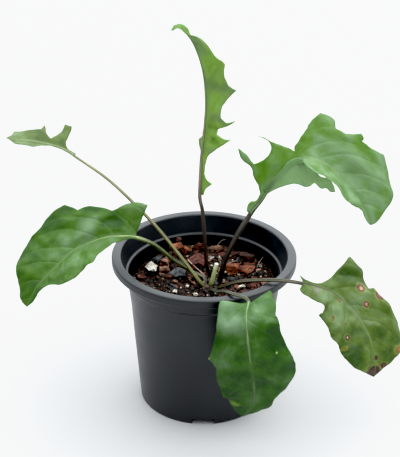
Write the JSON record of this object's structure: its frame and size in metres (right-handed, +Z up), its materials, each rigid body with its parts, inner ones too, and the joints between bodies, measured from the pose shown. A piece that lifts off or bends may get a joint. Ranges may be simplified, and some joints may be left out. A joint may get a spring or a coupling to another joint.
{
  "type": "potted rosette plant with lobed leaves",
  "caption": "Young rosette plant with long-stalked, lobed leaves growing from one crown in a round plastic nursery pot filled with bark mix.",
  "frame": {"origin": "centre of the pot's underside, on the surface that the pot stands on", "axes": "+Z up along the pot's axis; -Y towards the side that the front leaf hangs over, which the picture looks at; +X to the right in the picture, the plant's widest spread"},
  "size_m": [0.3223, 0.1846, 0.3127],
  "materials": {
    "pot_plastic": "satin black moulded plastic, fine horizontal sheen, faint scuffs",
    "growing_mix": "moist near-black potting mix of composted bark and peat, crumbly",
    "crown_skin": "dark brown fibrous rootstock, matt",
    "shoot_skin": "pale green shoot, cut end whitish, satin",
    "stalk_purple": "dark purple-brown leaf stalk, finely ridged, satin",
    "stalk_olive": "olive to brown leaf stalk, channelled above, satin",
    "leaf_light": "fresh yellow-green leaf, satin, paler underside, light lets through",
    "leaf_mid": "mid green leaf, quilted between its veins, grey-green sheen, pale rib",
    "leaf_deep": "deep green leaf, quilted between its veins, satin sheen, pale yellow-green rib",
    "leaf_spotted": "green leaf with brown-ringed dry spots and a brown withered tip",
    "bark": "red-brown to orange-brown pine bark, split layers, matt",
    "perlite": "cream-white expanded perlite, pitted, matt",
    "charcoal": "slate-grey charcoal and grit, matt"
  },
  "bodies": {
    "root": {"pot": "pot_plastic", "soil": "growing_mix", "crown": "crown_skin", "young_shoot": "shoot_skin", "leaf_upright_stalk": "stalk_purple", "leaf_upright_blade": "leaf_light", "leaf_right_back_stalk": "stalk_purple", "leaf_right_back_blade": "leaf_mid", "leaf_left_back_stalk": "stalk_olive", "leaf_left_back_blade": "leaf_light", "leaf_left_stalk": "stalk_olive", "leaf_left_blade": "leaf_deep", "leaf_front_stalk": "stalk_olive", "leaf_front_blade": "leaf_deep", "leaf_right_stalk": "stalk_olive", "leaf_right_blade": "leaf_spotted", "bark_stack": "bark", "bark_curl": "bark", "bark_back": "bark", "bark_strip": "bark", "bark_tan": "bark", "bark_orange_1": "bark", "bark_orange_2": "bark", "bark_red": "bark", "bark_slab": "bark", "bark_chip_1": "bark", "bark_chip_2": "bark", "bark_chip_3": "bark", "bark_chip_4": "bark", "bark_chip_5": "bark", "bark_chip_6": "bark", "perlite_large": "perlite", "perlite_1": "perlite", "perlite_2": "perlite", "perlite_3": "perlite", "perlite_4": "perlite", "perlite_5": "perlite", "perlite_6": "perlite", "perlite_7": "perlite", "perlite_8": "perlite", "charcoal_1": "charcoal", "charcoal_2": "charcoal", "charcoal_3": "charcoal"}
  },
  "joints": []
}
